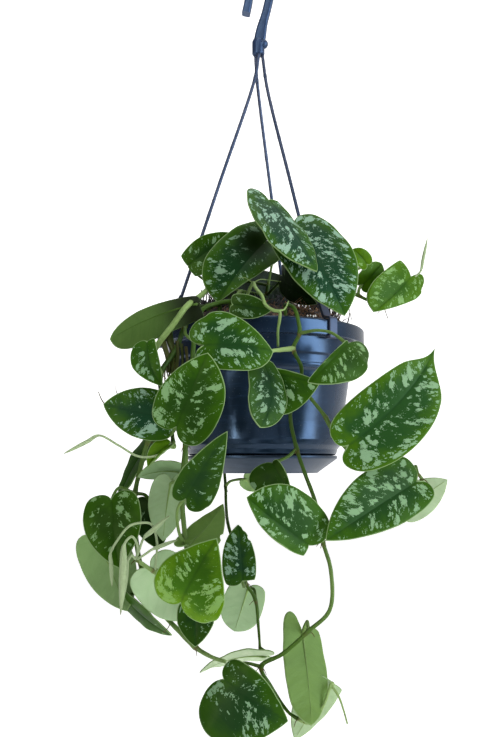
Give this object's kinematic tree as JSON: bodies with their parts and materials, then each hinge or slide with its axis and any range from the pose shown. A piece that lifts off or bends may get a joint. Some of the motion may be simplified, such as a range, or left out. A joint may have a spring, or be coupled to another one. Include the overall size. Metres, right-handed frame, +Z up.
{
  "type": "satin pothos in a hanging pot",
  "caption": "Trailing satin pothos with silver-splashed heart-shaped leaves, growing over the rim of a round plastic pot that hangs by three strands from a hook.",
  "frame": {"origin": "inside top of the hook, the point the pot hangs from", "axes": "+Z up, along the hanging line; -Y towards the side with most of the leaves in front; +X to the right seen from that side"},
  "size_m": [0.2521, 0.2413, 0.5616],
  "materials": {
    "pot_plastic": "scuffed gloss",
    "strand_plastic": "satin",
    "peat": "crumbly",
    "foliage": "satin"
  },
  "bodies": {
    "root": {"pot": "pot_plastic", "saucer": "pot_plastic", "soil": "peat", "hook": "pot_plastic", "strand_left": "strand_plastic", "strand_right": "strand_plastic", "strand_back": "strand_plastic", "vine_front": "foliage", "vine_right": "foliage", "vine_crown": "foliage", "vine_left": "foliage", "vine_left_long": "foliage", "vine_left_lower": "foliage", "vine_rim": "foliage", "vine_back_long": "foliage", "vine_back_right": "foliage", "vine_back_left": "foliage"}
  },
  "joints": []
}
